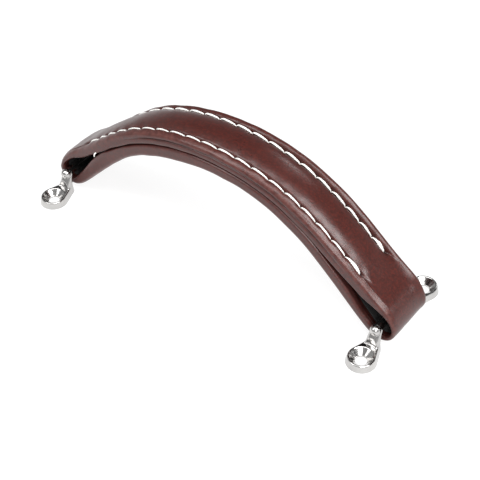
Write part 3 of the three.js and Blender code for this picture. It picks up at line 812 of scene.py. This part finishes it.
def nickel_material():
    g = Graph("nickel_plate")
    co = g.coords()
    cloud = g.noise(co, 90, 3.0, 0.6)
    haze = g.noise(co, 900, 4.0, 0.65)
    orange = g.noise(co, 420, 2.0, 0.5)
    col = g.mix(g.ramp(cloud, 0.35, 0.7), (0.60, 0.59, 0.575), (0.48, 0.47, 0.465))
    g.set(Base_Color=col, Metallic=1.0)
    g.set(Roughness=g.math("ADD", g.ramp(haze, 0.45, 0.8, 0.13, 0.20), g.ramp(cloud, 0.4, 0.7, 0.0, 0.04)))
    n = g.bump(orange, 0.00012, 0.22)
    g.set(Normal=g.bump(haze, 0.00003, 0.3, n))
    return g.mat


def floor_material():
    g = Graph("studio_floor")
    fleck = g.noise(g.coords(), 40, 2.0, 0.5)
    g.set(Base_Color=g.mix(fleck, (0.20, 0.20, 0.20), (0.22, 0.22, 0.22)), Roughness=0.9, Specular_IOR_Level=0.1)
    # the floor also glows: painted light that keeps it white and thins its shadows, even out to 0.45 m from the handle
    # and fading to about half by 1.1 m
    g.bsdf.inputs["Emission Color"].default_value = (1, 1, 1, 1)
    far = g.node("ShaderNodeVectorMath", operation="LENGTH")
    g.put(far.inputs[0], g.coords())
    g.put(g.bsdf.inputs["Emission Strength"], g.ramp(far.outputs["Value"], 0.45, 1.1, 0.86, 0.42))
    return g.mat


# ---------------------------------------------------------------------- build

build_leather(leather_material())
build_lining(lining_material())
build_threads(thread_material())
build_brackets(nickel_material())

me = bpy.data.meshes.new("studio_floor")
me.from_pydata([(-4, -4, -0.0003), (4, -4, -0.0003), (4, 4, -0.0003), (-4, 4, -0.0003)], [], [(0, 1, 2, 3)])
me.materials.append(floor_material())
floor = bpy.data.objects.new("studio_floor", me)
bpy.context.scene.collection.objects.link(floor)

# ---------------------------------------------------------------------- light

world = bpy.data.worlds.new("studio")
bpy.context.scene.world = world
world.use_nodes = True
wt = world.node_tree
wt.nodes.clear()
w_out = wt.nodes.new("ShaderNodeOutputWorld")
w_bg = wt.nodes.new("ShaderNodeBackground")
w_co = wt.nodes.new("ShaderNodeTexCoord")
w_sep = wt.nodes.new("ShaderNodeSeparateXYZ")
wt.links.new(w_co.outputs["Generated"], w_sep.inputs[0])


def sky(stops):
    n = wt.nodes.new("ShaderNodeValToRGB")
    wt.links.new(w_sep.outputs["Z"], n.inputs[0])
    els = n.color_ramp.elements
    els[0].position, els[1].position = stops[0][0], stops[-1][0]
    els[0].color, els[1].color = [(*[v] * 3, 1) for v in (stops[0][1], stops[-1][1])]
    for at, v in stops[1:-1]:
        els.new(at).color = (v, v, v, 1)
    return n.outputs[0]


w_front = sky(((0.0, 0.50), (0.35, 0.48), (0.55, 0.38), (0.80, 0.36), (1.0, 0.30)))
w_back = sky(((0.0, 0.36), (0.30, 0.30), (0.50, 0.07), (0.80, 0.05), (1.0, 0.30)))
w_side = wt.nodes.new("ShaderNodeMapRange")
w_side.interpolation_type = "SMOOTHSTEP"
w_side.inputs["From Min"].default_value = 0.05
w_side.inputs["From Max"].default_value = 0.42
wt.links.new(w_sep.outputs["Y"], w_side.inputs["Value"])
w_mix = wt.nodes.new("ShaderNodeMix")
w_mix.data_type = "RGBA"
wt.links.new(w_side.outputs["Result"], w_mix.inputs["Factor"])
wt.links.new(w_front, w_mix.inputs[6])
wt.links.new(w_back, w_mix.inputs[7])
w_noise = wt.nodes.new("ShaderNodeTexNoise")
w_noise.inputs["Scale"].default_value = 3.5
w_noise.inputs["Detail"].default_value = 1.0
wt.links.new(w_co.outputs["Generated"], w_noise.inputs["Vector"])
w_streak = wt.nodes.new("ShaderNodeMapRange")
for key, val in (("From Min", 0.38), ("From Max", 0.62), ("To Min", 0.8), ("To Max", 1.12)):
    w_streak.inputs[key].default_value = val
wt.links.new(w_noise.outputs["Fac"], w_streak.inputs["Value"])
w_mul = wt.nodes.new("ShaderNodeVectorMath")
w_mul.operation = "SCALE"
wt.links.new(w_mix.outputs[2], w_mul.inputs[0])
wt.links.new(w_streak.outputs["Result"], w_mul.inputs["Scale"])
wt.links.new(w_mul.outputs[0], w_bg.inputs["Color"])
wt.links.new(w_bg.outputs[0], w_out.inputs["Surface"])
w_bg.inputs["Strength"].default_value = 1.0


def softbox(name, direction, distance, size, power, target=(0, 0, 0.035)):
    d = np.array(direction, float)
    d /= np.linalg.norm(d)
    light = bpy.data.lights.new(name, "AREA")
    light.shape = "RECTANGLE"
    light.size, light.size_y = size
    light.energy = power
    ob = bpy.data.objects.new(name, light)
    ob.location = np.array(target) + d * distance
    z = d
    x = np.cross((0, 0, 1), z)
    x /= np.linalg.norm(x)
    y = np.cross(z, x)
    M = Matrix.Identity(4)
    for c, v in enumerate((x, y, z)):
        for r in range(3):
            M[r][c] = v[r]
    M.translation = ob.location
    ob.matrix_world = M
    bpy.context.scene.collection.objects.link(ob)
    return ob


softbox("front_left", (-0.42, -0.57, 0.70), 1.0, (0.42, 0.36), 2.6)
softbox("back", (0.03, 0.77, 0.64), 1.1, (0.2, 0.12), 0.8)
softbox("right", (0.88, 0.40, 0.26), 1.0, (0.14, 0.14), 0.35)
softbox("top_right", (0.66, -0.10, 0.75), 0.9, (0.38, 0.36), 4.0)
softbox("front_right", (0.60, -0.56, 0.57), 1.0, (0.44, 0.34), 4.0)
softbox("overhead", (0.08, -0.26, 0.96), 0.9, (0.95, 0.34), 4.2)

# --------------------------------------------------------------------- camera

AZ, EL, ROLL, DIST, SHIFT_X, SHIFT_Y = 38.21, 43.24, -1.94, 666.6, 5.65, 1.85
a, el, r = (math.radians(v) for v in (AZ, EL, ROLL))
back = np.array([math.sin(a) * math.cos(el), -math.cos(a) * math.cos(el), math.sin(el)])
right = np.array([math.cos(a), math.sin(a), 0.0])
R = np.stack([right, np.cross(back, right), back])
R = np.array([[math.cos(r), math.sin(r), 0], [-math.sin(r), math.cos(r), 0], [0, 0, 1]]) @ R
pos = (back * DIST + R[0] * SHIFT_X + R[1] * SHIFT_Y) * MM
cam = bpy.data.cameras.new("camera")
cam.sensor_width = 36
cam.lens = 1151.0 / 480 * 36
cam.clip_start, cam.clip_end = 0.01, 20
cam_ob = bpy.data.objects.new("camera", cam)
M = Matrix.Identity(4)
for c in range(3):
    for q in range(3):
        M[q][c] = R[c][q]
M.translation = pos
cam_ob.matrix_world = M
bpy.context.scene.collection.objects.link(cam_ob)
bpy.context.scene.camera = cam_ob

bpy.context.scene.view_settings.view_transform = "Standard"
bpy.context.scene.view_settings.look = "None"
